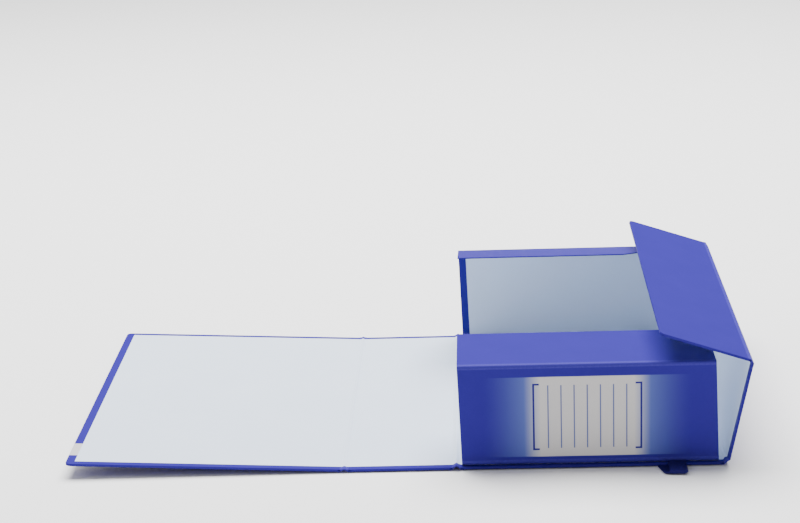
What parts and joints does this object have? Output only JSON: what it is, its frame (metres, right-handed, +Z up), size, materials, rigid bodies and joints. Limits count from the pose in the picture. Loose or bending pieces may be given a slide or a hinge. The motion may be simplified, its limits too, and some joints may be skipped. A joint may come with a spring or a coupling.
{
  "type": "archival box",
  "caption": "Folio project box of five paper-covered hinged boards with folding end walls and flaps, closed by a flat elastic strap.",
  "frame": {"origin": "on the supporting surface, under the middle of the open box's bounding box", "axes": "+Z up, +X from the spine to the fore edge, +Y from the tail to the head of the box"},
  "size_m": [0.6112, 0.39, 0.1254],
  "materials": {
    "cover_paper": "satin printed paper, blue",
    "lining_paper": "matte pale paper",
    "greyboard": "raw greyboard",
    "card": "raw card",
    "elastic": "woven elastic, navy"
  },
  "bodies": {
    "back_cover": {"back_board": "greyboard", "back_paper": "cover_paper", "back_lining": "lining_paper", "back_hinge_at_spine": "cover_paper", "back_hinge_at_fore": "cover_paper", "elastic_strap": "elastic", "tail_strap_patch": "lining_paper", "head_strap_patch": "lining_paper", "tail_glue_tab": "lining_paper", "head_glue_tab": "lining_paper"},
    "spine": {"spine_board": "greyboard", "spine_paper": "cover_paper", "spine_lining": "lining_paper", "spine_hinge_at_back": "cover_paper", "spine_hinge_at_front": "cover_paper"},
    "front_cover": {"front_board": "greyboard", "front_paper": "cover_paper", "front_lining": "lining_paper", "front_hinge": "cover_paper"},
    "fore_wall": {"fore_wall_board": "greyboard", "fore_wall_paper": "cover_paper", "fore_wall_lining": "lining_paper", "fore_wall_hinge": "cover_paper", "fore_wall_hinge_at_flap": "cover_paper"},
    "fore_flap_crease": {"fore_flap_crease_ridge": "cover_paper"},
    "fore_flap": {"fore_flap_board": "greyboard", "fore_flap_paper": "cover_paper", "fore_flap_lining": "lining_paper", "fore_flap_hinge": "cover_paper"},
    "tail_wall": {"tail_wall_board": "card", "tail_wall_paper": "cover_paper", "tail_wall_lining": "lining_paper"},
    "tail_flap": {"tail_flap_board": "card", "tail_flap_paper": "cover_paper", "tail_flap_lining": "lining_paper"},
    "head_wall": {"head_wall_board": "card", "head_wall_paper": "cover_paper", "head_wall_lining": "lining_paper"},
    "head_flap": {"head_flap_board": "card", "head_flap_paper": "cover_paper", "head_flap_lining": "lining_paper"}
  },
  "joints": [
    {"name": "spine_fold", "type": "hinge", "parent": "back_cover", "child": "spine", "pos_m": [0.04421, 0, 0.00213], "axis": [0, -1, 0], "range_deg": [-90, 0]},
    {"name": "cover_fold", "type": "hinge", "parent": "spine", "child": "front_cover", "pos_m": [-0.05579, 0, 0.00213], "axis": [0, -1, 0], "range_deg": [-87.5, 2.5]},
    {"name": "fore_wall_fold", "type": "hinge", "parent": "back_cover", "child": "fore_wall", "pos_m": [0.28421, 0, 0.00213], "axis": [0, 1, 0], "range_deg": [-12, 78]},
    {"name": "fore_flap_press", "type": "hinge", "parent": "fore_wall", "child": "fore_flap_crease", "pos_m": [0.30444, 0, 0.0973], "axis": [0, 1, 0], "range_deg": [-6.5, 0]},
    {"name": "fore_flap_fold", "type": "hinge", "parent": "fore_flap_crease", "child": "fore_flap", "pos_m": [0.30444, 0, 0.0973], "axis": [0, 1, 0], "range_deg": [0, 83.5]},
    {"name": "tail_wall_fold", "type": "hinge", "parent": "back_cover", "child": "tail_wall", "pos_m": [0.04421, -0.172, 0.0052], "axis": [1, 0, 0], "range_deg": [0, 90]},
    {"name": "tail_flap_fold", "type": "hinge", "parent": "tail_wall", "child": "tail_flap", "pos_m": [0.04421, -0.172, 0.0972], "axis": [1, 0, 0], "range_deg": [0, 90]},
    {"name": "head_wall_fold", "type": "hinge", "parent": "back_cover", "child": "head_wall", "pos_m": [0.04421, 0.172, 0.0052], "axis": [-1, 0, 0], "range_deg": [0, 90]},
    {"name": "head_flap_fold", "type": "hinge", "parent": "head_wall", "child": "head_flap", "pos_m": [0.04421, 0.172, 0.0972], "axis": [-1, 0, 0], "range_deg": [-12, 78]}
  ],
  "couplings": [
    {"joint": "tail_wall_fold", "follows": "fore_flap_fold", "ratio": 1.0778},
    {"joint": "tail_flap_fold", "follows": "fore_flap_fold", "ratio": 1.0778},
    {"joint": "head_wall_fold", "follows": "fore_flap_fold", "ratio": 1.0778},
    {"joint": "head_flap_fold", "follows": "fore_wall_fold", "ratio": 1}
  ]
}
